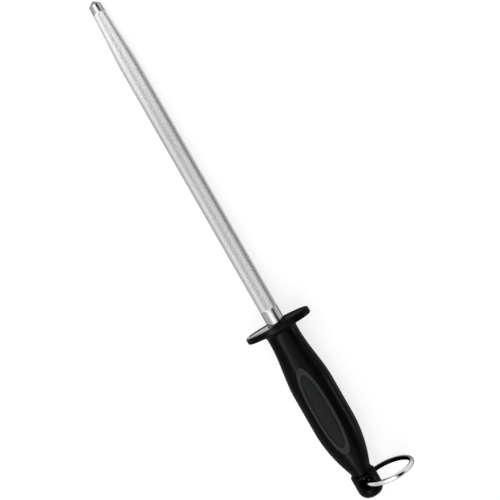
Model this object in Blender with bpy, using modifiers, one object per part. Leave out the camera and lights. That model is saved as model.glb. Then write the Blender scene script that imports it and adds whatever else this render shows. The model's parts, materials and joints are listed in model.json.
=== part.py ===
"""Butcher's sharpening steel, lying on a table as it rests.

A ribbed steel rod is driven into a moulded handle with an oval hand guard. Each broad face of the grip
carries a soft inlay. At the butt a cap turns on a headed pin, and a wire ring swings in the cap.
Metres, +Z up. The steel's own axes: x along the rod towards its tip, z out of the upper broad face.
"""
import bpy
import bmesh
from math import atan2, copysign, cos, pi, radians, sin, sqrt, tan
from mathutils import Vector

# Rod, measured from the front face of the guard
ROD_LENGTH = 0.254
ROD_DIAMETER = 0.013
ROD_SEAT_DEPTH = 0.010
BARE_LENGTH = 0.0105
TAPER_LENGTH = 0.047
TIP_DIAMETER = 0.0084
TIP_BARE_LENGTH = 0.0084
TIP_HALF_ANGLE = radians(55)
NOSE_DIAMETER = 0.0014
RIB_COUNT = 60
RIB_DEPTH = 0.00026
RIB_RUNOUT = 0.0008

# Tang: turned down from the rod, with two flats and a row of barbs
TANG_STEP = 0.0018
TANG_FLAT_DEPTH = 0.0009
TANG_END_TAPER = 0.006
BARB_COUNT = 6
BARB_DEPTH = 0.0004

# Hand guard, one moulding with the grip
GUARD_WIDTH = 0.0502
GUARD_DEPTH = 0.029
GUARD_THICKNESS = 0.005
GUARD_EDGE_RADIUS = 0.0012
GUARD_LIP_WIDTH = 0.0018
GUARD_LIP_HEIGHT = 0.0005
GUARD_FULLNESS = 2.05

# Grip, from the back of the guard to the butt
NECK_LENGTH = 0.007
NECK_WIDTH = 0.0229
NECK_DEPTH = 0.0195
NECK_FILLET = 0.0035
SHOULDER_LENGTH = 0.041
SWELL_WIDTH = 0.0307
SWELL_DEPTH = 0.025
SWELL_LENGTH = 0.029
TAIL_LENGTH = 0.038
WAIST_DIAMETER = 0.0158
COLLAR_LENGTH = 0.0027
GRIP_FULLNESS = 2.3

# Soft inlay, a long leaf let into each broad face, with a raised border round a sunken panel
INLAY_WIDTH = 0.0156
INLAY_FORE = 0.0196
INLAY_AFT = 0.0218
INLAY_FULLNESS = 2.2
INLAY_DEPTH = 0.0016
INLAY_PROUD = 0.0003
INLAY_BORDER = 0.0014
PANEL_SINK = 0.0006

# Swivel: cap with a hollow journal, headed pin and thrust washer
CAP_DIAMETER = 0.0186
CAP_LENGTH = 0.0188
CAP_EDGE_RADIUS = 0.0008
CAP_DOME_LENGTH = 0.0080
CAP_DOME_FULLNESS = 2.5
JOURNAL_DIAMETER = 0.0094
JOURNAL_LENGTH = 0.0084
PIN_DIAMETER = 0.0048
PIN_HEAD_DIAMETER = 0.0084
PIN_HEAD_THICKNESS = 0.0020
PIN_END_COVER = 0.0009
WASHER_DIAMETER = 0.0090
WASHER_THICKNESS = 0.0008
WEB_THICKNESS = 0.003

# Hanging ring, and its hole across the cap
RING_MEAN_DIAMETER = 0.035
RING_WIRE_DIAMETER = 0.0035
RING_HOLE_SETBACK = 0.0062
RING_REST_SWING = radians(-3.5)

# Fits and facets
CLEARANCE = 0.0003
CUT_MARGIN = 0.003
SECTION_SIDES = 40
ROUND_STEPS = 32
LEAF_SIDES = 44
ARC_STEPS = 3
SHOULDER_STEPS = 8
SWELL_STEPS = 3
TAIL_STEPS = 10
DOME_STEPS = 8
HOLE_STEPS = 6
RING_STEPS = 48
WIRE_STEPS = 12
SMOOTH_ANGLE = radians(35)

# Places along the steel, as distances behind the front face of the guard
rod_radius = ROD_DIAMETER / 2
tip_radius = TIP_DIAMETER / 2
nose_radius = NOSE_DIAMETER / 2
tip_shoulder = ROD_LENGTH - (tip_radius - nose_radius) / tan(TIP_HALF_ANGLE)
taper_start = ROD_LENGTH - TAPER_LENGTH
neck_at = GUARD_THICKNESS + NECK_LENGTH
swell_from = neck_at + SHOULDER_LENGTH
swell_to = swell_from + SWELL_LENGTH
waist_at = swell_to + TAIL_LENGTH
handle_end = waist_at + COLLAR_LENGTH
cap_front = handle_end + CLEARANCE
web_back = cap_front - JOURNAL_LENGTH - CLEARANCE
web_front = web_back - WEB_THICKNESS
washer_front = web_front - CLEARANCE - WASHER_THICKNESS
pin_head_front = washer_front - CLEARANCE - PIN_HEAD_THICKNESS
tang_end = pin_head_front - CLEARANCE
ring_hole_at = cap_front + RING_HOLE_SETBACK

# Radii that mating pieces share
tang_radius = rod_radius - TANG_STEP
tang_flat = tang_radius - TANG_FLAT_DEPTH
pin_radius = PIN_DIAMETER / 2
pin_bore = pin_radius + CLEARANCE
head_bore = max(PIN_HEAD_DIAMETER, WASHER_DIAMETER) / 2 + CLEARANCE
journal_radius = JOURNAL_DIAMETER / 2
journal_bore = journal_radius + CLEARANCE
cap_radius = CAP_DIAMETER / 2
ring_radius = RING_MEAN_DIAMETER / 2
wire_radius = RING_WIRE_DIAMETER / 2
guard_rim_y = GUARD_WIDTH / 2 - GUARD_EDGE_RADIUS
guard_rim_z = GUARD_DEPTH / 2 - GUARD_EDGE_RADIUS
neck_fillet = min(NECK_FILLET, NECK_LENGTH, guard_rim_y - NECK_WIDTH / 2, guard_rim_z - NECK_DEPTH / 2)
pin_end = ring_hole_at - wire_radius - CLEARANCE - PIN_END_COVER

# The steel lies on the lower rim of its guard and on the rod, tip down
guard_contact = GUARD_EDGE_RADIUS
rod_contacts = ((taper_start, rod_radius), (tip_shoulder, tip_radius))
rest_tilt = min(atan2(GUARD_DEPTH / 2 - r, x + guard_contact) for x, r in rod_contacts)


def new_collection(name):
    collection = bpy.data.collections.new(name)
    bpy.context.scene.collection.children.link(collection)
    return collection


def new_material(name, colour, roughness, metallic=0.0):
    material = bpy.data.materials.new(name)
    material.use_nodes = True
    material.diffuse_color = (*colour, 1.0)
    shader = material.node_tree.nodes["Principled BSDF"]
    shader.inputs["Base Color"].default_value = (*colour, 1.0)
    shader.inputs["Roughness"].default_value = roughness
    shader.inputs["Metallic"].default_value = metallic
    return material


def new_empty(name, parent=None):
    empty = bpy.data.objects.new(name, None)
    empty.empty_display_size = 0.02
    empty.parent = parent
    parts.objects.link(empty)
    return empty


def new_part(name, mesh, material, parent):
    obj = bpy.data.objects.new(name, mesh)
    obj.parent = parent
    if material.name not in mesh.materials:
        mesh.materials.append(material)
    parts.objects.link(obj)
    return obj


def new_cutter(name, mesh, parent):
    obj = bpy.data.objects.new(name, mesh)
    obj.parent = parent
    obj.hide_render = True
    obj.display_type = "WIRE"
    cutters.objects.link(obj)
    return obj


def combine(obj, other, operation):
    modifier = obj.modifiers.new(f"{operation.lower()} {other.name}", "BOOLEAN")
    modifier.operation = operation
    modifier.solver = "EXACT"
    modifier.object = other


def fix_shape(obj):
    """Turns an object and its modifiers into one plain mesh that other objects can share."""
    graph = bpy.context.evaluated_depsgraph_get()
    mesh = bpy.data.meshes.new_from_object(obj.evaluated_get(graph))
    obj.modifiers.clear()
    obj.data = mesh
    return mesh


def finish_mesh(bm, name):
    bmesh.ops.recalc_face_normals(bm, faces=bm.faces)
    mesh = bpy.data.meshes.new(name)
    bm.to_mesh(mesh)
    bm.free()
    mesh.shade_smooth()
    mesh.set_sharp_from_angle(angle=SMOOTH_ANGLE)
    return mesh


def loft(name, rings):
    """A closed skin over rings of equally many points, with a flat face on the first and the last."""
    bm = bmesh.new()
    loops = []
    for ring in rings:
        loops.append([bm.verts.new(point) for point in ring])
    for ahead, behind in zip(loops, loops[1:]):
        for i in range(len(ahead)):
            bm.faces.new((ahead[i - 1], ahead[i], behind[i], behind[i - 1]))
    bm.faces.new(loops[0])
    bm.faces.new(loops[-1])
    return finish_mesh(bm, name)


def turned(name, profile, closed=False):
    """A (radius, height) profile, outer side from top to bottom, turned about the object's own z axis."""
    mesh = bpy.data.meshes.new(name)
    count = len(profile)
    edges = [(i, i + 1) for i in range(count - 1)]
    if closed:
        edges.append((count - 1, 0))
    mesh.from_pydata([(radius, 0.0, height) for radius, height in profile], edges, [])
    return mesh


def turn(obj, steps):
    screw = obj.modifiers.new("turned", "SCREW")
    screw.axis = "Z"
    screw.angle = 2 * pi
    screw.steps = steps
    screw.render_steps = steps
    screw.use_merge_vertices = True
    screw.merge_threshold = 0.00001


def lay_along_rod(obj):
    """Swings a turned object's z axis on to the steel's x axis, so that heights run towards the tip."""
    obj.rotation_euler = (0.0, pi / 2, 0.0)


def signed_power(value, power):
    return copysign(abs(value) ** power, value)


def oval(behind, half_width, half_depth, fullness):
    """A superellipse across the steel: fullness 2 is an ellipse, and more is squarer."""
    ring = []
    for i in range(SECTION_SIDES):
        angle = 2 * pi * (i + 0.5) / SECTION_SIDES
        across = half_width * signed_power(cos(angle), 2 / fullness)
        up = half_depth * signed_power(sin(angle), 2 / fullness)
        ring.append(Vector((-behind, across, up)))
    return ring


def circle(behind, radius, flat=None):
    """A round section across the steel, cut at two flats left and right if their distance is given."""
    limit = radius if flat is None else flat
    ring = []
    for i in range(ROUND_STEPS):
        angle = 2 * pi * (i + 0.5) / ROUND_STEPS
        across = max(-limit, min(limit, radius * cos(angle)))
        ring.append(Vector((-behind, across, radius * sin(angle))))
    return ring


def ribbed_circle(ahead, radius, depth):
    """A section of the rod: crests on the given radius, with a valley of the given depth after each."""
    ring = []
    for i in range(2 * RIB_COUNT):
        angle = pi * i / RIB_COUNT
        r = radius - depth * (i % 2)
        ring.append(Vector((ahead, r * cos(angle), r * sin(angle))))
    return ring


def rod_radius_at(ahead):
    share = (ahead - taper_start) / (tip_shoulder - taper_start)
    return rod_radius + (tip_radius - rod_radius) * max(0.0, share)


def blend_along_grip(behind, neck, swell, waist):
    """Neck to swell on an S-curve, level along the swell, then a parabola down to the waist."""
    if behind <= swell_from:
        s = max(0.0, (behind - neck_at) / SHOULDER_LENGTH)
        return neck + (swell - neck) * s * s * (3 - 2 * s)
    s = max(0.0, min(1.0, (behind - swell_to) / TAIL_LENGTH))
    return swell + (waist - swell) * s * s


def grip_ring(behind, offset=0.0):
    half_width = blend_along_grip(behind, NECK_WIDTH, SWELL_WIDTH, WAIST_DIAMETER) / 2
    half_depth = blend_along_grip(behind, NECK_DEPTH, SWELL_DEPTH, WAIST_DIAMETER) / 2
    fullness = blend_along_grip(behind, GRIP_FULLNESS, GRIP_FULLNESS, 2.0)
    return oval(behind, half_width + offset, half_depth + offset, fullness)


def grip_rings(offset=0.0):
    places = [neck_at + SHOULDER_LENGTH * i / SHOULDER_STEPS for i in range(SHOULDER_STEPS)]
    places += [swell_from + SWELL_LENGTH * i / SWELL_STEPS for i in range(SWELL_STEPS)]
    places += [swell_to + TAIL_LENGTH * i / TAIL_STEPS for i in range(TAIL_STEPS + 1)]
    places.append(handle_end)
    return [grip_ring(place, offset) for place in places]


def guard_rings():
    """Sunken front face, raised lip, rounded rim, flat back and the fillet into the neck."""
    edge = GUARD_EDGE_RADIUS
    floor_y = guard_rim_y - GUARD_LIP_WIDTH
    floor_z = guard_rim_z - GUARD_LIP_WIDTH
    rings = [
        oval(GUARD_LIP_HEIGHT, floor_y, floor_z, GUARD_FULLNESS),
        oval(0.0, floor_y, floor_z, GUARD_FULLNESS),
    ]
    turns = [pi / 2 * i / ARC_STEPS for i in range(ARC_STEPS + 1)]
    for turn_angle in turns:
        out = edge * sin(turn_angle)
        back = edge * (1 - cos(turn_angle))
        rings.append(oval(back, guard_rim_y + out, guard_rim_z + out, GUARD_FULLNESS))
    for turn_angle in turns:
        out = edge * cos(turn_angle)
        back = GUARD_THICKNESS - edge + edge * sin(turn_angle)
        rings.append(oval(back, guard_rim_y + out, guard_rim_z + out, GUARD_FULLNESS))
    for turn_angle in turns:
        out = neck_fillet * (1 - sin(turn_angle))
        back = GUARD_THICKNESS + neck_fillet * (1 - cos(turn_angle))
        rings.append(grip_ring(back, out))
    return rings


def leaf_prism(name, inset):
    """The outline of the inlay, drawn in by the inset and carried up from the middle plane past the grip."""
    front = swell_from - INLAY_FORE
    back = swell_to + INLAY_AFT
    half_length = (back - front) / 2 - inset
    half_width = INLAY_WIDTH / 2 - inset
    bm = bmesh.new()
    bmesh.ops.create_circle(bm, cap_ends=True, segments=LEAF_SIDES, radius=1.0)
    for vert in bm.verts:
        along = half_length * signed_power(vert.co.x, 2 / INLAY_FULLNESS)
        across = half_width * signed_power(vert.co.y, 2 / INLAY_FULLNESS)
        vert.co = (along - (front + back) / 2, across, 0.0)
    raised = bmesh.ops.extrude_face_region(bm, geom=bm.faces[:])
    top = [item for item in raised["geom"] if isinstance(item, bmesh.types.BMVert)]
    bmesh.ops.translate(bm, verts=top, vec=(0.0, 0.0, SWELL_DEPTH / 2 + CUT_MARGIN))
    return finish_mesh(bm, name)


def build_rod():
    tip_bare = ROD_LENGTH - TIP_BARE_LENGTH
    stations = [
        (ROD_LENGTH, nose_radius, 0.0),
        (tip_shoulder, tip_radius, 0.0),
        (tip_bare, rod_radius_at(tip_bare), 0.0),
        (tip_bare - RIB_RUNOUT, rod_radius_at(tip_bare - RIB_RUNOUT), RIB_DEPTH),
        (taper_start, rod_radius, RIB_DEPTH),
        (BARE_LENGTH + RIB_RUNOUT, rod_radius, RIB_DEPTH),
        (BARE_LENGTH, rod_radius, 0.0),
        (-ROD_SEAT_DEPTH, rod_radius, 0.0),
    ]
    mesh = loft("rod", [ribbed_circle(*station) for station in stations])
    rod = new_part("rod", mesh, rod_steel, steel)

    # The tang starts inside the rod, so that the two join as one piece
    tang_from = ROD_SEAT_DEPTH
    taper_from = tang_end - TANG_END_TAPER
    pitch = (taper_from - tang_from) / (BARB_COUNT + 1)
    rings = [circle(tang_from - CUT_MARGIN, tang_radius, tang_flat)]
    for i in range(1, BARB_COUNT + 1):
        place = tang_from + pitch * i
        rings.append(circle(place, tang_radius, tang_flat))
        rings.append(circle(place + pitch / 4, tang_radius - BARB_DEPTH, tang_flat - BARB_DEPTH))
    rings.append(circle(taper_from, tang_radius, tang_flat))
    end_scale = pin_radius / tang_radius
    rings.append(circle(tang_end, tang_radius * end_scale, tang_flat * end_scale))
    tang = new_cutter("rod_tang", loft("rod_tang", rings), steel)
    combine(rod, tang, "UNION")
    return rod


def build_inlay():
    """The upper inlay and the pocket that takes it, both following the curve of the grip."""
    floor = new_cutter("pocket_floor", loft("pocket_floor", grip_rings(-INLAY_DEPTH)), steel)
    underside = new_cutter("inlay_floor", loft("inlay_floor", grip_rings(CLEARANCE - INLAY_DEPTH)), steel)
    crown = new_cutter("inlay_crown", loft("inlay_crown", grip_rings(INLAY_PROUD)), steel)
    panel_floor = new_cutter("panel_floor", loft("panel_floor", grip_rings(INLAY_PROUD - PANEL_SINK)), steel)

    pocket = new_cutter("inlay_pocket_upper", leaf_prism("inlay_pocket", 0.0), steel)
    combine(pocket, floor, "DIFFERENCE")
    panel = new_cutter("inlay_panel", leaf_prism("inlay_panel", CLEARANCE + INLAY_BORDER), steel)
    combine(panel, panel_floor, "DIFFERENCE")
    inlay = new_part("grip_inlay_upper", leaf_prism("grip_inlay", CLEARANCE), inlay_rubber, steel)
    combine(inlay, crown, "INTERSECT")
    combine(inlay, underside, "DIFFERENCE")
    combine(inlay, panel, "DIFFERENCE")

    # The lower inlay and its pocket are the same shapes, turned half round the rod
    other_pocket = new_cutter("inlay_pocket_lower", fix_shape(pocket), steel)
    other_inlay = new_part("grip_inlay_lower", fix_shape(inlay), inlay_rubber, steel)
    for obj in (other_pocket, other_inlay):
        obj.rotation_euler = (pi, 0.0, 0.0)
    return pocket, other_pocket


def build_handle(pockets):
    handle = new_part("handle", loft("handle", guard_rings() + grip_rings()), handle_plastic, steel)
    bore_radius = tang_radius + CLEARANCE
    bore_flat = tang_flat + CLEARANCE
    seat_end = ROD_SEAT_DEPTH + CLEARANCE
    rings = [
        circle(-CUT_MARGIN, rod_radius + CLEARANCE),
        circle(seat_end, rod_radius + CLEARANCE),
        circle(seat_end, bore_radius, bore_flat),
        circle(tang_end, bore_radius, bore_flat),
        circle(tang_end, head_bore),
        circle(web_front, head_bore),
        circle(web_front, pin_bore),
        circle(web_back, pin_bore),
        circle(web_back, journal_bore),
        circle(handle_end + CUT_MARGIN, journal_bore),
    ]
    bore = new_cutter("handle_bore", loft("handle_bore", rings), steel)
    for cutter in (bore, *pockets):
        combine(handle, cutter, "DIFFERENCE")
    return handle


def build_swivel():
    """Heights here run from the front face of the cap towards the tip of the steel."""
    washer_top = cap_front - washer_front
    washer_foot = washer_top - WASHER_THICKNESS
    profile = [
        (pin_bore, washer_top),
        (WASHER_DIAMETER / 2, washer_top),
        (WASHER_DIAMETER / 2, washer_foot),
        (pin_bore, washer_foot),
    ]
    washer = new_part("thrust_washer", turned("thrust_washer", profile, closed=True), pin_steel, swivel)
    turn(washer, ROUND_STEPS)
    lay_along_rod(washer)

    head_top = cap_front - pin_head_front
    head_foot = head_top - PIN_HEAD_THICKNESS
    head_chamfer = PIN_HEAD_THICKNESS / 4
    head_radius = PIN_HEAD_DIAMETER / 2
    end_chamfer = pin_radius / 4
    end_height = cap_front - pin_end
    profile = [
        (0.0, head_top),
        (head_radius - head_chamfer, head_top),
        (head_radius, head_top - head_chamfer),
        (head_radius, head_foot),
        (pin_radius, head_foot),
        (pin_radius, end_height + end_chamfer),
        (pin_radius - end_chamfer, end_height),
        (0.0, end_height),
    ]
    pin = new_part("swivel_pin", turned("swivel_pin", profile), pin_steel, swivel)
    turn(pin, ROUND_STEPS)
    lay_along_rod(pin)

    edge = CAP_EDGE_RADIUS
    dome_from = CAP_DOME_LENGTH - CAP_LENGTH
    profile = [
        (0.0, end_height - CLEARANCE),
        (pin_bore, end_height - CLEARANCE),
        (pin_bore, JOURNAL_LENGTH),
        (journal_radius, JOURNAL_LENGTH),
        (journal_radius, 0.0),
    ]
    for i in range(ARC_STEPS + 1):
        turn_angle = pi / 2 * i / ARC_STEPS
        profile.append((cap_radius - edge * (1 - sin(turn_angle)), -edge * (1 - cos(turn_angle))))
    for i in range(DOME_STEPS):
        turn_angle = pi / 2 * i / DOME_STEPS
        radius = cap_radius * cos(turn_angle) ** (2 / CAP_DOME_FULLNESS)
        drop = CAP_DOME_LENGTH * sin(turn_angle) ** (2 / CAP_DOME_FULLNESS)
        profile.append((radius, dome_from - drop))
    profile.append((0.0, -CAP_LENGTH))
    cap = new_part("swivel_cap", turned("swivel_cap", profile), handle_plastic, swivel)
    turn(cap, ROUND_STEPS)
    lay_along_rod(cap)

    hole = new_cutter("ring_hole", turned("ring_hole", ring_hole_profile()), ring_pivot)
    turn(hole, ROUND_STEPS)
    combine(cap, hole, "DIFFERENCE")


def ring_hole_profile():
    """A bell mouth at each end: at every height the wire clears the wall, however the ring is swung."""
    reach = cap_radius + CUT_MARGIN / 2
    profile = [(0.0, reach)]
    for i in range(-HOLE_STEPS, HOLE_STEPS + 1):
        height = -reach * i / HOLE_STEPS
        inner = sqrt((ring_radius - wire_radius) ** 2 - height ** 2)
        profile.append((ring_radius - inner + CLEARANCE, height))
    profile.append((0.0, -reach))
    return profile


def build_ring():
    bpy.ops.mesh.primitive_torus_add(
        major_segments=RING_STEPS,
        minor_segments=WIRE_STEPS,
        major_radius=ring_radius,
        minor_radius=wire_radius,
    )
    ring = bpy.context.object
    ring.name = "hanging_ring"
    ring.data.name = "hanging_ring"
    ring.data.materials.append(ring_chrome)
    ring.data.shade_smooth()
    for collection in list(ring.users_collection):
        collection.objects.unlink(ring)
    parts.objects.link(ring)
    ring.parent = ring_pivot
    ring.location = (0.0, -ring_radius, 0.0)
    ring.rotation_euler = (0.0, pi / 2, 0.0)


def rest_on_table():
    """Moves the whole steel so that the middle of its outline's base is the origin."""
    bpy.context.view_layer.update()
    graph = bpy.context.evaluated_depsgraph_get()
    corners = []
    for obj in parts.objects:
        if obj.type == "MESH":
            shape = obj.evaluated_get(graph)
            corners += [shape.matrix_world @ vert.co for vert in shape.data.vertices]
    low = Vector([min(corner[i] for corner in corners) for i in range(3)])
    high = Vector([max(corner[i] for corner in corners) for i in range(3)])
    steel.location -= Vector(((low.x + high.x) / 2, (low.y + high.y) / 2, low.z))
    bpy.context.view_layer.update()


for leftover in list(bpy.data.objects):
    bpy.data.objects.remove(leftover)

parts = new_collection("sharpening_steel")
cutters = new_collection("cutters")

rod_steel = new_material("ground steel", (0.60, 0.60, 0.59), 0.32, 1.0)
handle_plastic = new_material("moulded polypropylene", (0.012, 0.012, 0.013), 0.45)
inlay_rubber = new_material("soft inlay", (0.034, 0.036, 0.035), 0.60)
pin_steel = new_material("bright pin steel", (0.56, 0.56, 0.55), 0.30, 1.0)
ring_chrome = new_material("plated wire", (0.72, 0.72, 0.72), 0.10, 1.0)

steel = new_empty("steel")
steel.rotation_euler = (0.0, rest_tilt, 0.0)
swivel = new_empty("swivel", steel)
swivel.location = (-cap_front, 0.0, 0.0)
ring_pivot = new_empty("ring_pivot", swivel)
ring_pivot.location = (-RING_HOLE_SETBACK, 0.0, 0.0)
ring_pivot.rotation_euler = (0.0, 0.0, RING_REST_SWING)

build_rod()
build_handle(build_inlay())
build_swivel()
build_ring()
rest_on_table()
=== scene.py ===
import bpy
import bmesh
import json
from math import cos, copysign, pi, radians, sin, sqrt, tan
from mathutils import Matrix, Vector


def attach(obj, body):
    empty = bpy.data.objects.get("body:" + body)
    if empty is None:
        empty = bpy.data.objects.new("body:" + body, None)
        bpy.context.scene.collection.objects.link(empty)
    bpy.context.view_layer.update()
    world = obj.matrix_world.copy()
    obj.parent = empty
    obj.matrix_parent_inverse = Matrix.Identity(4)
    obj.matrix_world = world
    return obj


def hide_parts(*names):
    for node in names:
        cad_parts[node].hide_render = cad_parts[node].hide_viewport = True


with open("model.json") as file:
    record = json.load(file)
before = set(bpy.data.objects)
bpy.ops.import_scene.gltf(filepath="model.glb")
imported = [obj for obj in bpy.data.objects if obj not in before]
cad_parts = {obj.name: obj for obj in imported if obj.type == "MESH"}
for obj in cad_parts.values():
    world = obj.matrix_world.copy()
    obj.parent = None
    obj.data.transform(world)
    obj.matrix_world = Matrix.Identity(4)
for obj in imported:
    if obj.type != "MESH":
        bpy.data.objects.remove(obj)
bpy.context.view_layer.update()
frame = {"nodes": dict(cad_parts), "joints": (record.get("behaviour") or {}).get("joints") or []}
scene = bpy.context.scene
scene.view_settings.view_transform = "Standard"
print("frame loaded:", ", ".join(sorted(frame["nodes"])))

# The steel's own axes: x towards the tip, z out of the broad face that shows, from the middle of the guard's
# face. Everything below is modelled in millimetres in these axes and put in place when a piece is finished.
joints = {joint["name"]: joint for joint in frame["joints"]}
capFront = 123.0  # like ringHole, behind the guard's front face
ringHole = 129.2
towardsTip = Vector(joints["cap_swivel"]["axis"]).normalized()
outOfFace = Vector(joints["ring_swing"]["axis"]).normalized()
steelPlace = Matrix((towardsTip, outOfFace.cross(towardsTip), outOfFace)).transposed().to_4x4()
steelPlace.translation = Vector(joints["cap_swivel"]["pos_m"]) + towardsTip * capFront * 0.001
fromMillimetres = steelPlace @ Matrix.Scale(0.001, 4)


def linearColor(hexText):
    channels = [int(hexText[i:i + 2], 16) / 255 for i in (1, 3, 5)]
    linear = [c / 12.92 if c <= 0.04045 else ((c + 0.055) / 1.055) ** 2.4 for c in channels]
    return (*linear, 1.0)


# Adds a node, sets its properties and inputs, and links a (node, output) pair where one is given for an input
def addNode(tree, kind, inputs=None, **settings):
    node = tree.nodes.new(kind)
    for name, value in settings.items():
        setattr(node, name, value)
    for key, value in (inputs or {}).items():
        if isinstance(value, tuple) and isinstance(value[0], bpy.types.Node):
            tree.links.new(value[0].outputs[value[1]], node.inputs[key])
        else:
            node.inputs[key].default_value = value
    return node


def newMaterial(name):
    material = bpy.data.materials.new(name)
    material.use_nodes = True
    material.node_tree.nodes.clear()
    return material, material.node_tree


# Object coordinates in the steel's own axes, stretched so that one unit is the given size in mm
def steelCoords(tree, along, across):
    inverse = steelPlace.inverted()
    coords = addNode(tree, "ShaderNodeTexCoord")
    inAxes = addNode(tree, "ShaderNodeMapping", {
        "Vector": (coords, "Object"),
        "Location": inverse.translation,
        "Rotation": inverse.to_euler(),
    })
    return addNode(tree, "ShaderNodeMapping", {
        "Vector": (inAxes, "Vector"),
        "Scale": (1000 / along, 1000 / across, 1000 / across),
    })


# The place on the steel in mm, as X along it, Y across it and Z out of the broad face
def steelPoint(tree):
    return addNode(tree, "ShaderNodeSeparateXYZ", {"Vector": (steelCoords(tree, 1.0, 1.0), "Vector")})


# Noise with features of about the given sizes in mm
def steelNoise(tree, along, across, detail, roughness=0.5):
    return addNode(tree, "ShaderNodeTexNoise", {
        "Vector": (steelCoords(tree, along, across), "Vector"),
        "Scale": 1.0, "Detail": detail, "Roughness": roughness,
    })


# A mix of two colours, each a hex text or a (node, output) pair
def mixColors(tree, factor, first, second):
    ends = [linearColor(color) if isinstance(color, str) else color for color in (first, second)]
    return addNode(tree, "ShaderNodeMix", {"Factor": factor, "A": ends[0], "B": ends[1]}, data_type="RGBA")


# A value carried from one span to another and held at its ends
def mapSpan(tree, value, fromSpan, toSpan=(0.0, 1.0)):
    return addNode(tree, "ShaderNodeMapRange", {
        "Value": value, "From Min": fromSpan[0], "From Max": fromSpan[1],
        "To Min": toSpan[0], "To Max": toSpan[1],
    })


def mathNode(tree, operation, *values):
    return addNode(tree, "ShaderNodeMath", dict(enumerate(values)), operation=operation)


# Relief is the strength of the bump and its height in metres
def bumpNode(tree, height, relief):
    return addNode(tree, "ShaderNodeBump", {"Height": height, "Strength": relief[0], "Distance": relief[1]})


def finishMaterial(tree, inputs):
    shader = addNode(tree, "ShaderNodeBsdfPrincipled", inputs)
    addNode(tree, "ShaderNodeOutputMaterial", {"Surface": (shader, "BSDF")})


# Ground carbon steel: satin and streaked where it is ribbed, with painted sheen that lightens it towards the
# tip, and a darker mirror where it is bare. Real grinding lines are too fine to show, so the streaks are
# drawn coarser.
steelFinish = {
    "color": "#C9C9C9", "duller": "#AEAEAE", "streak": (90.0, 0.5), "streakRelief": (0.08, 0.00005),
    "tipSheen": "#E6E6E6", "tipSheenSpan": (150.0, 245.6), "tipSheenShare": 0.65, "polished": "#B0B0B0",
    "bare": 0.04, "ribbed": 0.28, "streakRoughness": 0.08,
    "guardRunout": (10.5, 11.3), "tipRunout": (244.8, 245.6),  # where the ribs end, ahead of the guard's face
}


def groundSteel():
    material, tree = newMaterial("ground carbon steel")
    bare, ribbed = steelFinish["bare"], steelFinish["ribbed"]
    streaks = steelNoise(tree, *steelFinish["streak"], 4.0, 0.6)
    tone = mixColors(tree, (streaks, "Fac"), steelFinish["color"], steelFinish["duller"])
    ahead = (steelPoint(tree), "X")
    # painted sheen: the steel's colour is lightened towards the tip
    sheenTowardsTip = mapSpan(tree, ahead, steelFinish["tipSheenSpan"], (0.0, steelFinish["tipSheenShare"]))
    sheenedTone = mixColors(tree, (sheenTowardsTip, "Result"), (tone, "Result"), steelFinish["tipSheen"])
    nearGuard = mapSpan(tree, ahead, steelFinish["guardRunout"], (bare, ribbed))
    nearTip = mapSpan(tree, ahead, steelFinish["tipRunout"], (0.0, ribbed - bare))
    polish = mathNode(tree, "SUBTRACT", (nearGuard, "Result"), (nearTip, "Result"))
    ribbedShare = mapSpan(tree, (polish, "Value"), (bare, ribbed))
    metal = mixColors(tree, (ribbedShare, "Result"), steelFinish["polished"], (sheenedTone, "Result"))
    spread = steelFinish["streakRoughness"]
    grind = mathNode(tree, "MULTIPLY_ADD", (streaks, "Fac"), 2 * spread, -spread)
    rough = mathNode(tree, "ADD", (polish, "Value"), (grind, "Value"))
    bump = bumpNode(tree, (streaks, "Fac"), steelFinish["streakRelief"])
    finishMaterial(tree, {
        "Base Color": (metal, "Result"), "Metallic": 1.0, "Roughness": (rough, "Value"),
        "Normal": (bump, "Normal"), "Specular Tint": (0.0, 0.0, 0.0, 1.0),
    })
    return material


# Polypropylene, moulded in a finely spark-eroded tool: deep black with a soft satin sheen that dulls at a
# glancing angle, and a painted reflection: a clear coat on one half of the guard's face only, so that this
# half catches the white table
plasticFinish = {
    "color": "#030303", "worn": "#060606", "patch": (22.0, 9.0), "patchSpan": (0.3, 0.7),
    "roughness": (0.22, 0.31), "grain": 0.35, "grainRelief": (0.12, 0.00006),
    "glancingBlend": 0.35, "glancingSpan": (0.3, 0.9), "glancingRoughness": 0.6,
    "paintedReflectionAcross": (0.0, 5.0), "paintedReflectionAhead": (-0.75, -0.6),
}


def mouldedPolypropylene():
    material, tree = newMaterial("moulded polypropylene")
    grain = steelNoise(tree, plasticFinish["grain"], plasticFinish["grain"], 2.0)
    patches = steelNoise(tree, *plasticFinish["patch"], 3.0)
    tone = mixColors(tree, (patches, "Fac"), plasticFinish["color"], plasticFinish["worn"])
    satin = mapSpan(tree, (patches, "Fac"), plasticFinish["patchSpan"], plasticFinish["roughness"])
    glancing = addNode(tree, "ShaderNodeLayerWeight", {"Blend": plasticFinish["glancingBlend"]})
    dulled = (0.0, plasticFinish["glancingRoughness"])
    matter = mapSpan(tree, (glancing, "Facing"), plasticFinish["glancingSpan"], dulled)
    rough = mathNode(tree, "ADD", (satin, "Result"), (matter, "Result"))
    place = steelPoint(tree)
    # painted reflection: the coat is laid on one half of the guard's face only
    oneSide = mapSpan(tree, (place, "Y"), plasticFinish["paintedReflectionAcross"])
    face = mapSpan(tree, (place, "X"), plasticFinish["paintedReflectionAhead"])
    paintedReflection = mathNode(tree, "MULTIPLY", (oneSide, "Result"), (face, "Result"))
    bump = bumpNode(tree, (grain, "Fac"), plasticFinish["grainRelief"])
    finishMaterial(tree, {
        "Base Color": (tone, "Result"), "Roughness": (rough, "Value"), "IOR": 1.49,
        "Specular IOR Level": 0.03, "Normal": (bump, "Normal"),
        "Coat Weight": (paintedReflection, "Value"), "Coat Roughness": 0.06, "Coat IOR": 1.55,
    })
    return material


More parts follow.
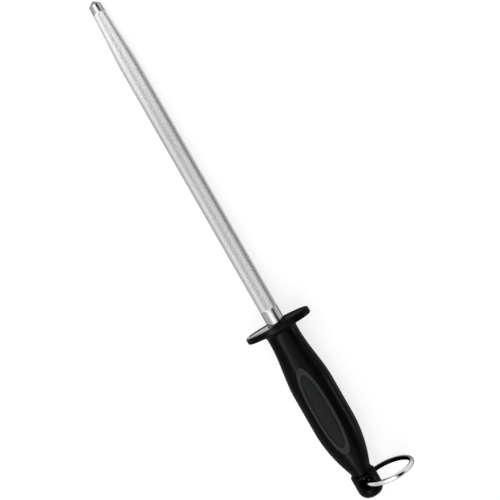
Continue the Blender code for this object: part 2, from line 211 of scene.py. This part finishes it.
# Thermoplastic rubber, overmoulded: dull dark grey, faintly green, with a dusty bloom that lifts it from the
# black, and lighter along its border, where hands rub it
rubberFinish = {
    "color": "#0C0E0D", "bloom": "#141615", "patch": 6.0, "rubbed": "#202221", "roughness": 0.62,
    "grain": 0.5, "grainRelief": (0.25, 0.00008),
}


def softRubber():
    material, tree = newMaterial("thermoplastic rubber")
    grain = steelNoise(tree, rubberFinish["grain"], rubberFinish["grain"], 3.0)
    bloom = steelNoise(tree, rubberFinish["patch"], rubberFinish["patch"], 4.0, 0.6)
    tone = mixColors(tree, (bloom, "Fac"), rubberFinish["color"], rubberFinish["bloom"])
    border = addNode(tree, "ShaderNodeAttribute", attribute_name="rubbed")
    worn = mixColors(tree, (border, "Fac"), (tone, "Result"), rubberFinish["rubbed"])
    bump = bumpNode(tree, (grain, "Fac"), rubberFinish["grainRelief"])
    finishMaterial(tree, {
        "Base Color": (worn, "Result"), "Roughness": rubberFinish["roughness"], "IOR": 1.5,
        "Specular IOR Level": 0.05, "Normal": (bump, "Normal"),
    })
    return material


# Bright nickel-chrome plate on wire: a clean mirror with a trace of haze, and painted shade on the side of
# the wire that faces the ring's middle
chromeFinish = {
    "color": "#DEDEDD", "haze": "#CFCFCF", "patch": 5.0, "hazeSpan": (0.35, 0.7), "roughness": (0.05, 0.11),
    # painted shade for the side of the wire that faces the ring's middle
    "worn": "#0B0B0B",
}


def platedWire():
    material, tree = newMaterial("chrome plated wire")
    haze = steelNoise(tree, chromeFinish["patch"], chromeFinish["patch"], 4.0)
    tone = mixColors(tree, (haze, "Fac"), chromeFinish["color"], chromeFinish["haze"])
    rough = mapSpan(tree, (haze, "Fac"), chromeFinish["hazeSpan"], chromeFinish["roughness"])
    # painted shade: darker on the side of the wire that faces the ring's middle
    inside = addNode(tree, "ShaderNodeAttribute", attribute_name="inside")
    plate = mixColors(tree, (inside, "Fac"), (tone, "Result"), chromeFinish["worn"])
    finishMaterial(tree, {
        "Base Color": (plate, "Result"), "Metallic": 1.0, "Roughness": (rough, "Result"),
        "Specular Tint": (0.0, 0.0, 0.0, 1.0),
    })
    return material


# Free-cutting steel, turned: bright, with fine tool rings round it
pinFinish = {
    "color": "#C2C1BE", "roughness": 0.28, "ringPitch": 0.4, "ringWander": 4.0, "ringRelief": (0.2, 0.00003),
    "waveScale": 0.314,  # at which a wave repeats once in a unit
}


def turnedSteel():
    material, tree = newMaterial("turned bright steel")
    toolRings = addNode(tree, "ShaderNodeTexWave", {
        "Vector": (steelCoords(tree, pinFinish["ringPitch"], pinFinish["ringWander"]), "Vector"),
        "Scale": pinFinish["waveScale"], "Distortion": 0.6, "Detail": 1.0,
    }, bands_direction="X")
    bump = bumpNode(tree, (toolRings, "Fac"), pinFinish["ringRelief"])
    finishMaterial(tree, {
        "Base Color": linearColor(pinFinish["color"]), "Metallic": 1.0,
        "Roughness": pinFinish["roughness"], "Normal": (bump, "Normal"),
    })
    return material


steelLook = groundSteel()
plasticLook = mouldedPolypropylene()
rubberLook = softRubber()
chromeLook = platedWire()
pinLook = turnedSteel()
print("materials made")


def signedPower(value, power):
    return copysign(abs(value) ** power, value)


# A superellipse across the steel, by the share of a turn: fullness 2 is an ellipse, more is squarer
def ovalSection(behind, halfWidth, halfDepth, fullness=2.0):
    def pointAt(share):
        across = halfWidth * signedPower(cos(2 * pi * share), 2 / fullness)
        up = halfDepth * signedPower(sin(2 * pi * share), 2 / fullness)
        return Vector((-behind, across, up))
    return pointAt


# Extrudes one loop of edges through the sections and closes both ends; the rubbed sections are marked as worn
def growShell(sections, sides, rubbed=()):
    bm = bmesh.new()
    sideLayer = bm.verts.layers.int.new("side")
    rubbedLayer = bm.verts.layers.float.new("rubbed")
    loop = bmesh.ops.create_circle(bm, segments=sides, radius=1.0)["verts"]
    for side, vert in enumerate(loop):
        vert[sideLayer] = side
        vert.co = sections[0](side / sides)
    edges = bm.edges[:]
    bmesh.ops.edgeloop_fill(bm, edges=edges)
    for count, section in enumerate(sections[1:], 1):
        grown = bmesh.ops.extrude_edge_only(bm, edges=edges)["geom"]
        edges = [item for item in grown if isinstance(item, bmesh.types.BMEdge)]
        for vert in (item for item in grown if isinstance(item, bmesh.types.BMVert)):
            vert.co = section(vert[sideLayer] / sides)
            vert[rubbedLayer] = 1.0 if count in rubbed else 0.0
    bmesh.ops.edgeloop_fill(bm, edges=edges)
    return bm


# Spins an open profile of points round an axis; points on the axis close up
def spinProfile(profile, axis, center, steps):
    bm = bmesh.new()
    verts = [bm.verts.new(point) for point in profile]
    for ahead, behind in zip(verts, verts[1:]):
        bm.edges.new((ahead, behind))
    bmesh.ops.spin(
        bm, geom=bm.verts[:] + bm.edges[:], cent=center, axis=axis, angle=2 * pi, steps=steps, use_merge=True
    )
    return bm


# How close two points count as one, and the least angle between faces, in degrees, that shows as an edge
meshFinish = {"weld": 0.001, "sharpAngle": 32}


def finishMesh(bm, name, sharpAngle=meshFinish["sharpAngle"]):
    bmesh.ops.remove_doubles(bm, verts=bm.verts, dist=meshFinish["weld"])
    bmesh.ops.recalc_face_normals(bm, faces=bm.faces)
    mesh = bpy.data.meshes.new(name)
    bm.to_mesh(mesh)
    bm.free()
    mesh.shade_smooth()
    mesh.set_sharp_from_angle(angle=radians(sharpAngle))
    return mesh


# The mesh less the cutter meshes, all still in millimetres
def cutAway(mesh, cutters):
    blank = bpy.data.objects.new(mesh.name, mesh)
    scene.collection.objects.link(blank)
    tools = []
    for cutter in cutters:
        tool = bpy.data.objects.new(cutter.name, cutter)
        scene.collection.objects.link(tool)
        cut = blank.modifiers.new(cutter.name, "BOOLEAN")
        cut.operation = "DIFFERENCE"
        cut.solver = "EXACT"
        cut.object = tool
        tools.append(tool)
    graph = bpy.context.evaluated_depsgraph_get()
    result = bpy.data.meshes.new_from_object(blank.evaluated_get(graph))
    for spent in (blank, *tools):
        bpy.data.objects.remove(spent)
    result.name = mesh.name
    result.set_sharp_from_angle(angle=radians(meshFinish["sharpAngle"]))
    return result


def putInPlace(mesh, name, material, body, node):
    mesh.transform(fromMillimetres)
    mesh.materials.clear()
    mesh.materials.append(material)
    piece = bpy.data.objects.new(name, mesh)
    scene.collection.objects.link(piece)
    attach(piece, body)
    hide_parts(node)
    print(name, "finished with", len(mesh.polygons), "faces")
    return piece


# Rod: ribbed between two bare ends, tapered to a blunt cone, with its stepped tang inside the handle
rod = {
    "length": 254.0, "radius": 6.5, "bare": 10.5, "taper": 47.0, "tipRadius": 4.2, "tipBare": 8.4,
    "coneAngle": 55, "noseRadius": 0.7, "ribs": 60, "ribDepth": 0.18, "ribPoints": 6, "runout": 0.8,
    "seat": 10.0, "tangRadius": 4.7, "tangEnd": 104.0, "tangPoint": 6.0, "tangPointRadius": 2.35,
    "ease": 0.25,  # rounding of the turned corners
    "easeAhead": 0.1,  # how far the rounding of the tip's shoulder runs on to the cone
    "blend": 0.5,  # keeps the shading of the run-outs off the long ribs
    "sharpAngle": 20,
}


def rodSection(ahead, radius, ribDepth):
    def pointAt(share):
        angle = 2 * pi * share
        valley = (1 - cos(angle * rod["ribs"])) / 2
        reach = radius - valley * ribDepth * radius / rod["radius"]
        return Vector((ahead, reach * cos(angle), reach * sin(angle)))
    return pointAt


def makeRod():
    shoulder = rod["length"] - (rod["tipRadius"] - rod["noseRadius"]) / tan(radians(rod["coneAngle"]))
    taperStart = rod["length"] - rod["taper"]
    tipBare = rod["length"] - rod["tipBare"]
    ribsEnd = tipBare - rod["runout"]

    def radiusAt(ahead):
        share = max(0.0, (ahead - taperStart) / (shoulder - taperStart))
        return rod["radius"] + (rod["tipRadius"] - rod["radius"]) * share

    ease = rod["ease"]
    blend = rod["blend"]
    stations = [
        (-rod["tangEnd"], rod["tangPointRadius"], 0.0),
        (rod["tangPoint"] - rod["tangEnd"], rod["tangRadius"], 0.0),
        (-rod["seat"], rod["tangRadius"], 0.0),
        (-rod["seat"], rod["radius"] - ease, 0.0),
        (ease - rod["seat"], rod["radius"], 0.0),
        (rod["bare"], rod["radius"], 0.0),
        (rod["bare"] + rod["runout"], rod["radius"], rod["ribDepth"]),
        (rod["bare"] + rod["runout"] + blend, rod["radius"], rod["ribDepth"]),
        (taperStart, rod["radius"], rod["ribDepth"]),
        (ribsEnd - blend, radiusAt(ribsEnd - blend), rod["ribDepth"]),
        (ribsEnd, radiusAt(ribsEnd), rod["ribDepth"]),
        (tipBare, radiusAt(tipBare), 0.0),
        (shoulder - ease, radiusAt(shoulder - ease), 0.0),
        (shoulder + rod["easeAhead"], rod["tipRadius"] - ease, 0.0),
        (rod["length"] - ease, rod["noseRadius"] + ease, 0.0),
        (rod["length"], rod["noseRadius"] - ease, 0.0),
    ]
    bm = growShell([rodSection(*station) for station in stations], rod["ribs"] * rod["ribPoints"])
    mesh = finishMesh(bm, "sharpeningRod", rod["sharpAngle"])
    # the edges that run along the rod stay smooth, so that the ribs shade as a wave
    sides = mesh.attributes["side"].data
    for edge in mesh.edges:
        ahead, behind = edge.vertices
        if sides[ahead].value == sides[behind].value:
            edge.use_edge_sharp = False
    putInPlace(mesh, "sharpeningRod", steelLook, "handle", "rod")


# Handle: guard with a raised lip, neck, swell and tail in one moulding, bored at both ends
handle = {
    "sides": 128, "rodBore": 6.8, "boreDepth": 10.3, "boreChamfer": 0.35,
    "guardWidth": 50.05, "guardDepth": 29.0, "guardThick": 5.0, "guardEdge": 1.2, "guardFullness": 2.05,
    "lipWidth": 1.8, "lipHeight": 0.5, "lipEase": 0.2, "lipFoot": 2.0,
    "neckAt": 12.0, "neckWidth": 22.9, "neckDepth": 19.5, "neckFillet": 3.5,
    "swellFrom": 53.0, "swellTo": 82.0, "swellWidth": 30.7, "swellDepth": 25.0,
    "waistAt": 120.0, "waist": 15.8, "end": 122.7, "endEase": 0.3, "endCorner": 0.09, "fullness": 2.3,
    "journalBore": 5.0, "journalDepth": 8.7, "gripSteps": 72, "arcSteps": 6,
}


# Neck to swell on an S-curve, level along the swell, then a parabola down to the waist
def alongGrip(behind, neck, swell, waist):
    if behind <= handle["swellFrom"]:
        share = max(0.0, (behind - handle["neckAt"]) / (handle["swellFrom"] - handle["neckAt"]))
        return neck + (swell - neck) * share * share * (3 - 2 * share)
    share = max(0.0, min(1.0, (behind - handle["swellTo"]) / (handle["waistAt"] - handle["swellTo"])))
    return swell + (waist - swell) * share * share


def gripHalves(behind, offset=0.0):
    halfWidth = alongGrip(behind, handle["neckWidth"], handle["swellWidth"], handle["waist"]) / 2 + offset
    halfDepth = alongGrip(behind, handle["neckDepth"], handle["swellDepth"], handle["waist"]) / 2 + offset
    fullness = alongGrip(behind, handle["fullness"], handle["fullness"], 2.0)
    return halfWidth, halfDepth, fullness


def makeHandle(pockets):
    rimY = handle["guardWidth"] / 2 - handle["guardEdge"]
    rimZ = handle["guardDepth"] / 2 - handle["guardEdge"]
    full = handle["guardFullness"]
    sunken = handle["lipHeight"]
    ease = handle["lipEase"]
    chamfer = handle["boreChamfer"]
    bore = handle["rodBore"]
    sections = [
        ovalSection(handle["boreDepth"], bore, bore),
        ovalSection(sunken + chamfer, bore, bore),
        ovalSection(sunken, bore + chamfer, bore + chamfer),
    ]
    lipY = rimY - handle["lipWidth"]
    lipZ = rimZ - handle["lipWidth"]
    for inward, back in (
        (handle["lipFoot"], sunken), (ease, sunken), (0.0, sunken - ease), (0.0, ease), (-ease, 0.0),
    ):
        sections.append(ovalSection(back, lipY - inward, lipZ - inward, full))
    turns = [pi / 2 * i / handle["arcSteps"] for i in range(handle["arcSteps"] + 1)]
    edge = handle["guardEdge"]
    for turn in turns:
        back = edge * (1 - cos(turn))
        sections.append(ovalSection(back, rimY + edge * sin(turn), rimZ + edge * sin(turn), full))
    for turn in turns:
        back = handle["guardThick"] - edge * (1 - sin(turn))
        sections.append(ovalSection(back, rimY + edge * cos(turn), rimZ + edge * cos(turn), full))
    for turn in turns:
        back = handle["guardThick"] + handle["neckFillet"] * (1 - cos(turn))
        sections.append(ovalSection(back, *gripHalves(back, handle["neckFillet"] * (1 - sin(turn)))))
    for step in range(1, handle["gripSteps"] + 1):
        back = handle["neckAt"] + (handle["waistAt"] - handle["neckAt"]) * step / handle["gripSteps"]
        sections.append(ovalSection(back, *gripHalves(back)))
    endEase = handle["endEase"]
    waist = handle["waist"] / 2
    journal = handle["journalBore"]
    for back, radius in (
        (handle["end"] - endEase, waist),
        (handle["end"] - handle["endCorner"], waist - handle["endCorner"]),
        (handle["end"], waist - endEase),
        (handle["end"], journal),
        (handle["end"] - handle["journalDepth"], journal),
    ):
        sections.append(ovalSection(back, radius, radius))
    mesh = finishMesh(growShell(sections, handle["sides"]), "mouldedHandle")
    mesh = cutAway(mesh, pockets)
    return putInPlace(mesh, "mouldedHandle", plasticLook, "handle", "handle")


# Inlay: a long leaf with a raised border round a sunken panel, wrapped on to the grip
inlay = {
    "sides": 120, "middle": 68.6, "halfLength": 35.2, "halfWidth": 7.8, "fullness": 2.2, "gap": 0.3,
    "depth": 1.6, "floor": -1.3, "floorSteps": 5, "middleShare": 0.04, "sharpAngle": 40,
    # inset from the outline across and along, and height over the grip, from the outer wall inwards
    "border": ((0.3, 0.3, -0.1), (0.36, 0.36, 0.12), (0.55, 0.55, 0.27), (0.8, 0.8, 0.3), (1.9, 5.3, 0.3),
               (2.15, 5.7, 0.25), (2.3, 5.9, 0.1), (2.4, 6.1, -0.4), (2.6, 6.4, -0.52), (2.8, 6.7, -0.5),
               (3.0, 7.0, -0.34), (3.4, 7.6, -0.3)),
    "rubbedCorners": (1, 7),  # of the border, first and past the last
    "panelSteps": 10, "panelShrink": 0.97, "panelCrown": 0.12,
    "cutterTop": 3.0,  # past the grip
    "cutterTopShare": 0.5,
}


def leafSection(insetAcross, insetAlong, height, shrink=1.0):
    halfLength = (inlay["halfLength"] - insetAlong) * shrink
    halfWidth = (inlay["halfWidth"] - insetAcross) * shrink

    def pointAt(share):
        along = halfLength * signedPower(cos(2 * pi * share), 2 / inlay["fullness"])
        across = halfWidth * signedPower(sin(2 * pi * share), 2 / inlay["fullness"])
        behind = inlay["middle"] - along
        gripWidth, gripDepth, fullness = gripHalves(behind, height)
        up = gripDepth * (1 - (abs(across) / gripWidth) ** fullness) ** (1 / fullness)
        return Vector((-behind, across, up))
    return pointAt


def leafFloor(inset, height):
    shares = [step / inlay["floorSteps"] for step in range(1, inlay["floorSteps"] + 1)]
    return [leafSection(inset, inset, height, share) for share in (inlay["middleShare"], *shares)]


def turnToLowerFace(bm):
    bmesh.ops.rotate(bm, verts=bm.verts, matrix=Matrix.Rotation(pi, 3, "X"))


def makeInlay(name, node, turned):
    sections = leafFloor(inlay["gap"], inlay["floor"])
    rubbed = range(*(len(sections) + corner for corner in inlay["rubbedCorners"]))
    sections += [leafSection(*corner) for corner in inlay["border"]]
    innerAcross, innerAlong, innerHeight = inlay["border"][-1]
    for step in range(1, inlay["panelSteps"] + 1):
        shrink = 1 - inlay["panelShrink"] * step / inlay["panelSteps"]
        height = innerHeight + inlay["panelCrown"] * (1 - shrink ** 2)
        sections.append(leafSection(innerAcross, innerAlong, height, shrink))
    bm = growShell(sections, inlay["sides"], rubbed)
    if turned:
        turnToLowerFace(bm)
    mesh = finishMesh(bm, name, inlay["sharpAngle"])
    return putInPlace(mesh, name, rubberLook, "handle", node)


def pocketCutter(name, turned):
    sections = leafFloor(0.0, -inlay["depth"])
    sections.append(leafSection(0.0, 0.0, inlay["cutterTop"]))
    sections.append(leafSection(0.0, 0.0, inlay["cutterTop"], inlay["cutterTopShare"]))
    bm = growShell(sections, inlay["sides"])
    if turned:
        turnToLowerFace(bm)
    return finishMesh(bm, name)


# Cap: turned outline with a domed end, its journal in the handle, and a bell-mouthed hole across for the ring
cap = {
    "radius": 9.3, "length": 18.77, "edge": 0.8, "domeLength": 8.0, "domeFullness": 2.5, "steps": 128,
    "journalRadius": 4.7, "journalLength": 8.4, "pinBore": 2.7, "pinEnd": 2.95,
    "arcSteps": 5, "domeSteps": 22, "holePast": 1.5, "holeSteps": 24, "holeSides": 64,
}
ring = {
    "radius": 17.5, "wire": 1.75, "swing": -3.5, "gap": 0.3, "steps": 180, "wireSides": 32,
    "shadeFrom": 0.1, "shadeFade": 0.35,
}


def makeCap():
    outline = [
        (0.0, -cap["pinEnd"]),
        (cap["pinBore"], -cap["pinEnd"]),
        (cap["pinBore"], cap["journalLength"]),
        (cap["journalRadius"], cap["journalLength"]),
        (cap["journalRadius"], 0.0),
    ]
    for step in range(cap["arcSteps"] + 1):
        turn = pi / 2 * step / cap["arcSteps"]
        outline.append((cap["radius"] - cap["edge"] * (1 - sin(turn)), -cap["edge"] * (1 - cos(turn))))
    for step in range(cap["domeSteps"] + 1):
        turn = pi / 2 * step / cap["domeSteps"]
        radius = cap["radius"] * max(0.0, cos(turn)) ** (2 / cap["domeFullness"])
        drop = cap["domeLength"] * sin(turn) ** (2 / cap["domeFullness"])
        outline.append((radius, cap["domeLength"] - cap["length"] - drop))
    outline[-1] = (0.0, -cap["length"])
    profile = [(height - capFront, radius, 0.0) for radius, height in outline]
    mesh = finishMesh(spinProfile(profile, (1, 0, 0), (0, 0, 0), cap["steps"]), "swivelCap")
    mesh = cutAway(mesh, [ringHoleCutter()])
    return putInPlace(mesh, "swivelCap", plasticLook, "swivel", "swivel_cap")


# At every height the wire clears the wall, however the ring is swung
def ringHoleCutter():
    reach = cap["radius"] + cap["holePast"]
    heights = [reach - 2 * reach * step / cap["holeSteps"] for step in range(cap["holeSteps"] + 1)]
    profile = [(-ringHole, 0.0, reach)]
    for height in heights:
        inner = sqrt((ring["radius"] - ring["wire"]) ** 2 - height ** 2)
        profile.append((-ringHole, ring["radius"] - inner + ring["gap"], height))
    profile.append((-ringHole, 0.0, -reach))
    return finishMesh(spinProfile(profile, (0, 0, 1), (-ringHole, 0, 0), cap["holeSides"]), "ringHole")


def makeRing():
    bm = bmesh.new()
    start = Matrix.Translation((0, -ring["radius"], ring["radius"])) @ Matrix.Rotation(pi / 2, 4, "X")
    bmesh.ops.create_circle(bm, segments=ring["wireSides"], radius=ring["wire"], matrix=start)
    bmesh.ops.spin(
        bm, geom=bm.verts[:] + bm.edges[:], cent=(0, -ring["radius"], 0), axis=(1, 0, 0), angle=2 * pi,
        steps=ring["steps"], use_merge=True,
    )
    # painted shade: marks the side of the wire that faces the ring's middle for darkening
    innerShadeLayer = bm.verts.layers.float.new("inside")
    for vert in bm.verts:
        inward = ring["radius"] - Vector((vert.co.y + ring["radius"], vert.co.z)).length
        vert[innerShadeLayer] = min(1.0, max(0.0, (inward / ring["wire"] - ring["shadeFrom"]) / ring["shadeFade"]))
    swung = Matrix.Translation((-ringHole, 0, 0)) @ Matrix.Rotation(radians(ring["swing"]), 4, "Z")
    bmesh.ops.transform(bm, matrix=swung, verts=bm.verts)
    mesh = finishMesh(bm, "hangingRing")
    putInPlace(mesh, "hangingRing", chromeLook, "ring", "hanging_ring")


makeRod()
makeRing()
blackPieces = [
    makeHandle([pocketCutter("upperPocket", False), pocketCutter("lowerPocket", True)]),
    makeInlay("gripInlayUpper", "grip_inlay_upper", False),
    makeInlay("gripInlayLower", "grip_inlay_lower", True),
    makeCap(),
]
for hidden in ("swivel_pin", "thrust_washer"):
    for slotOfNode in frame["nodes"][hidden].material_slots:
        slotOfNode.material = pinLook


# Floor: a round of matt white card, swept up at its far edge
floorLook = {
    "color": "#F7F7F7", "tooth": "#FBFBFB", "grain": 1.5,
    "flat": 8.0, "sweep": 6.0, "sweptUp": 70, "sweepSteps": 14, "sides": 96,
    "lift": 0.75,  # how far its shadow is paled
}


def makeFloor():
    material, tree = newMaterial("matt white card")
    coords = addNode(tree, "ShaderNodeTexCoord")
    tooth = addNode(tree, "ShaderNodeTexNoise", {
        "Vector": (coords, "Object"), "Scale": 1000 / floorLook["grain"], "Detail": 2.0,
    })
    tone = mixColors(tree, (tooth, "Fac"), floorLook["color"], floorLook["tooth"])
    card = addNode(tree, "ShaderNodeBsdfDiffuse", {"Color": (tone, "Result")})
    white = addNode(tree, "ShaderNodeEmission", {"Color": (1.0, 1.0, 1.0, 1.0), "Strength": 1.0})
    rays = addNode(tree, "ShaderNodeLightPath")
    seen = mathNode(tree, "MAXIMUM", (rays, "Is Camera Ray"), (rays, "Is Glossy Ray"))
    shown = mathNode(tree, "MAXIMUM", (seen, "Value"), (rays, "Is Transmission Ray"))
    lifted = mathNode(tree, "MULTIPLY", (shown, "Value"), floorLook["lift"])
    shader = addNode(tree, "ShaderNodeMixShader", {
        "Fac": (lifted, "Value"), 1: (card, "BSDF"), 2: (white, "Emission"),
    })
    addNode(tree, "ShaderNodeOutputMaterial", {"Surface": (shader, "Shader")})
    profile = [(0, 0, 0)]
    for step in range(floorLook["sweepSteps"] + 1):
        turn = radians(floorLook["sweptUp"]) * step / floorLook["sweepSteps"]
        out = floorLook["flat"] + floorLook["sweep"] * sin(turn)
        profile.append((out, 0, floorLook["sweep"] * (1 - cos(turn))))
    mesh = finishMesh(spinProfile(profile, (0, 0, 1), (0, 0, 0), floorLook["sides"]), "floor")
    mesh.materials.append(material)
    floor = bpy.data.objects.new("floor", mesh)
    scene.collection.objects.link(floor)


# Light: a white tent over the steel, brightest overhead, with a dark slot high on the right. Each level is an
# angle over the steel, in degrees from straight up towards the left, and the brightness there.
tent = {
    "levels": (
        (-180, 0.7), (-92, 0.95), (-83, 0.75), (-74, 0.8), (-69, 0.25), (-63, 0.08), (-58, 0.0), (-40, 0.0),
        (-36, 0.25), (-28, 0.8), (-22, 1.9), (-3, 2.1), (3, 2.3), (8, 2.7), (14, 2.7), (20, 1.75), (30, 1.02),
        (44, 1.06), (58, 0.83), (73, 0.56), (92, 0.26), (180, 0.7),
    ),
    "ends": 0.05, "endsFrom": 0.78, "endsTo": 0.95, "strength": 2.7,
}


def makeTent():
    world = bpy.data.worlds.new("light tent")
    scene.world = world
    world.use_nodes = True
    tree = world.node_tree
    tree.nodes.clear()
    coords = addNode(tree, "ShaderNodeTexCoord")
    toward = addNode(tree, "ShaderNodeSeparateXYZ", {"Vector": (coords, "Generated")})
    lean = mathNode(tree, "ARCTAN2", (toward, "Y"), (toward, "Z"))
    share = mapSpan(tree, (lean, "Value"), (-pi, pi))
    ramp = addNode(tree, "ShaderNodeValToRGB", {"Fac": (share, "Result")})
    stops = ramp.color_ramp.elements
    while len(stops) < len(tent["levels"]):
        stops.new(0.5)
    angles, levels = zip(*tent["levels"])
    for stop, angle in zip(stops, angles):
        stop.position = (angle + 180) / 360
    for stop, level in zip(stops, levels):
        gray = level / tent["strength"]
        stop.color = (gray, gray, gray, 1.0)
    endways = mathNode(tree, "ABSOLUTE", (toward, "X"))
    endShare = addNode(tree, "ShaderNodeMapRange", {
        "Value": (endways, "Value"), "From Min": tent["endsFrom"], "From Max": tent["endsTo"],
    }, interpolation_type="SMOOTHSTEP")
    endGray = tent["ends"] / tent["strength"]
    wall = mixColors(tree, (endShare, "Result"), (ramp, "Color"), (endGray, endGray, endGray, 1.0))
    light = addNode(tree, "ShaderNodeBackground", {"Color": (wall, "Result"), "Strength": tent["strength"]})
    addNode(tree, "ShaderNodeOutputWorld", {"Surface": (light, "Background")})


# Strip lamps: narrow soft boxes along the handle, one high on the left and one low on the right, for the two
# lines of light on it; they are kept off the bright metal
strips = {
    "distance": 1.0,
    "lamps": (
        {"lean": 19.0, "skew": 7.0, "behind": 0.46, "length": 1.1, "width": 0.15, "watts": 10.0},
        {"lean": -88.0, "skew": 0.0, "behind": 0.4, "length": 0.44, "width": 0.05, "watts": 2.6},
    ),
}


def makeStrips(litPieces):
    lit = bpy.data.collections.new("handle pieces")
    for piece in litPieces:
        lit.objects.link(piece)
    for lamp in strips["lamps"]:
        light = bpy.data.lights.new("strip lamp", "AREA")
        light.shape = "RECTANGLE"
        light.size = lamp["length"]
        light.size_y = lamp["width"]
        light.energy = lamp["watts"]
        softBox = bpy.data.objects.new("strip lamp", light)
        scene.collection.objects.link(softBox)
        softBox.light_linking.receiver_collection = lit
        over = Matrix.Rotation(-radians(lamp["lean"]), 4, "X")
        out = Matrix.Translation((0, 0, strips["distance"]))
        skew = Matrix.Rotation(radians(lamp["skew"]), 4, "Z")
        middle = Matrix.Translation((steelPlace.translation.x - lamp["behind"], 0, 0))
        softBox.matrix_world = middle @ over @ out @ skew


# Camera: over the broad face, the steel leaning in the picture with its tip up to the left
view = {
    "lens": 68.4, "sensor": 36.0, "pixels": 500, "distance": 0.665,
    "lean": 29.76, "tipNearer": 3.5, "roll": 12.5, "guardPixel": (276.2, 322.3),
}


def makeCamera():
    right = Vector((0, -1, 0))
    roll = radians(view["roll"])
    nearer = radians(view["tipNearer"])
    lean = radians(view["lean"])
    across = right * cos(roll) - outOfFace * sin(roll)
    facing = right * sin(roll) + outOfFace * cos(roll)
    along = towardsTip * cos(nearer) - facing * sin(nearer)
    backward = towardsTip * sin(nearer) + facing * cos(nearer)
    imageRight = across * cos(lean) - along * sin(lean)
    imageUp = across * sin(lean) + along * cos(lean)
    pixelSize = view["sensor"] / view["pixels"] / view["lens"] * view["distance"]
    offRight = (view["guardPixel"][0] - view["pixels"] / 2) * pixelSize
    offUp = (view["pixels"] / 2 - view["guardPixel"][1]) * pixelSize
    data = bpy.data.cameras.new("camera")
    data.lens = view["lens"]
    data.sensor_width = view["sensor"]
    camera = bpy.data.objects.new("camera", data)
    scene.collection.objects.link(camera)
    place = Matrix((imageRight, imageUp, backward)).transposed().to_4x4()
    center = steelPlace.translation - imageRight * offRight - imageUp * offUp
    place.translation = center + backward * view["distance"]
    camera.matrix_world = place
    scene.camera = camera


makeFloor()
makeTent()
makeStrips(blackPieces)
makeCamera()
print("floor, light and camera set")
